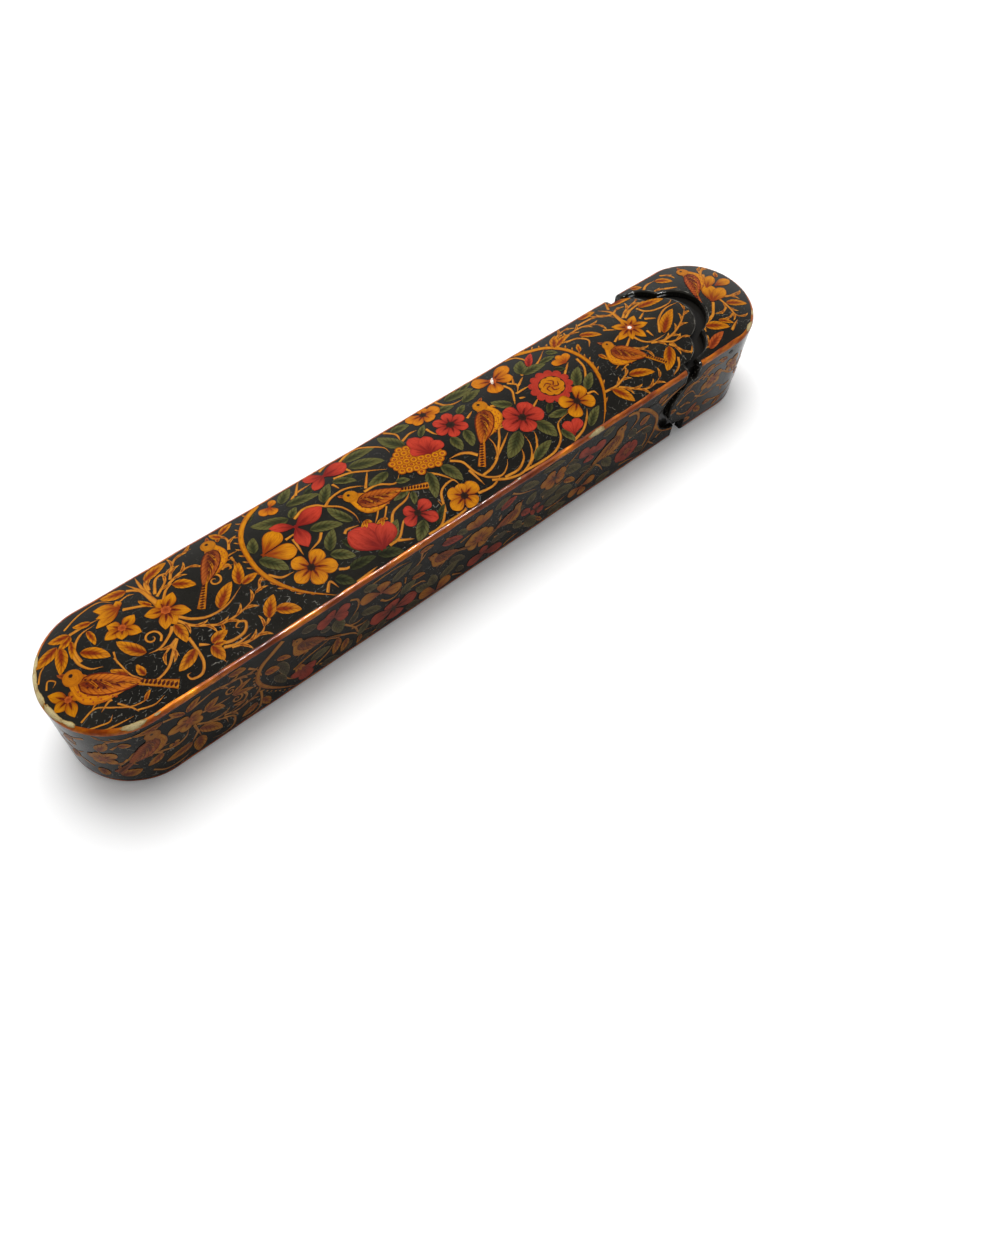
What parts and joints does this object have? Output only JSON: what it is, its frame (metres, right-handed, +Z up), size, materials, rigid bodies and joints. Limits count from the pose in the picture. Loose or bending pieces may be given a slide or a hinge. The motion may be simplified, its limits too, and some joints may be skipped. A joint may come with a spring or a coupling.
{
  "type": "pen box",
  "caption": "Slim round-ended lacquered pen box: a sleeve with a lobed tongue over a sliding drawer that carries a lidded inkwell, reed pens, penknife, nibbing plate and ladle.",
  "frame": {"origin": "under the middle of the box as it lies, on the surface it rests on", "axes": "+X along the box towards the drawer's head, +Z up"},
  "size_m": [0.23, 0.036, 0.031],
  "materials": {
    "painted_lacquer": "papier-mache, painted and varnished to a gloss",
    "plain_lacquer": "papier-mache, black lacquer outside and red inside",
    "brass": "worn polish",
    "steel": "ground",
    "silk": "ink-soaked silk floss",
    "reed": "polished reed",
    "bone": "polished bone"
  },
  "bodies": {
    "sleeve": {"sleeve_shell": "painted_lacquer"},
    "drawer": {"drawer_tray": "plain_lacquer", "drawer_tail": "plain_lacquer", "drawer_head": "painted_lacquer", "inkwell_tub": "brass", "inkwell_cover": "brass", "inkwell_hinge_pin": "steel", "ink_wad": "silk", "reed_pen_broad": "reed", "reed_pen_fine": "reed", "nibbing_plate": "bone", "penknife_handle": "bone", "penknife_ferrule": "brass", "penknife_blade": "steel", "water_ladle": "brass"},
    "lid": {"inkwell_lid": "brass"}
  },
  "joints": [
    {"name": "drawer_slide", "type": "slide", "parent": "sleeve", "child": "drawer", "axis": [1, 0, 0], "range_m": [-0.004, 0.16]},
    {"name": "inkwell_lid_hinge", "type": "hinge", "parent": "drawer", "child": "lid", "pos_m": [0.05797, 0, 0.01305], "axis": [0, 1, 0], "range_deg": [0, 105]}
  ]
}
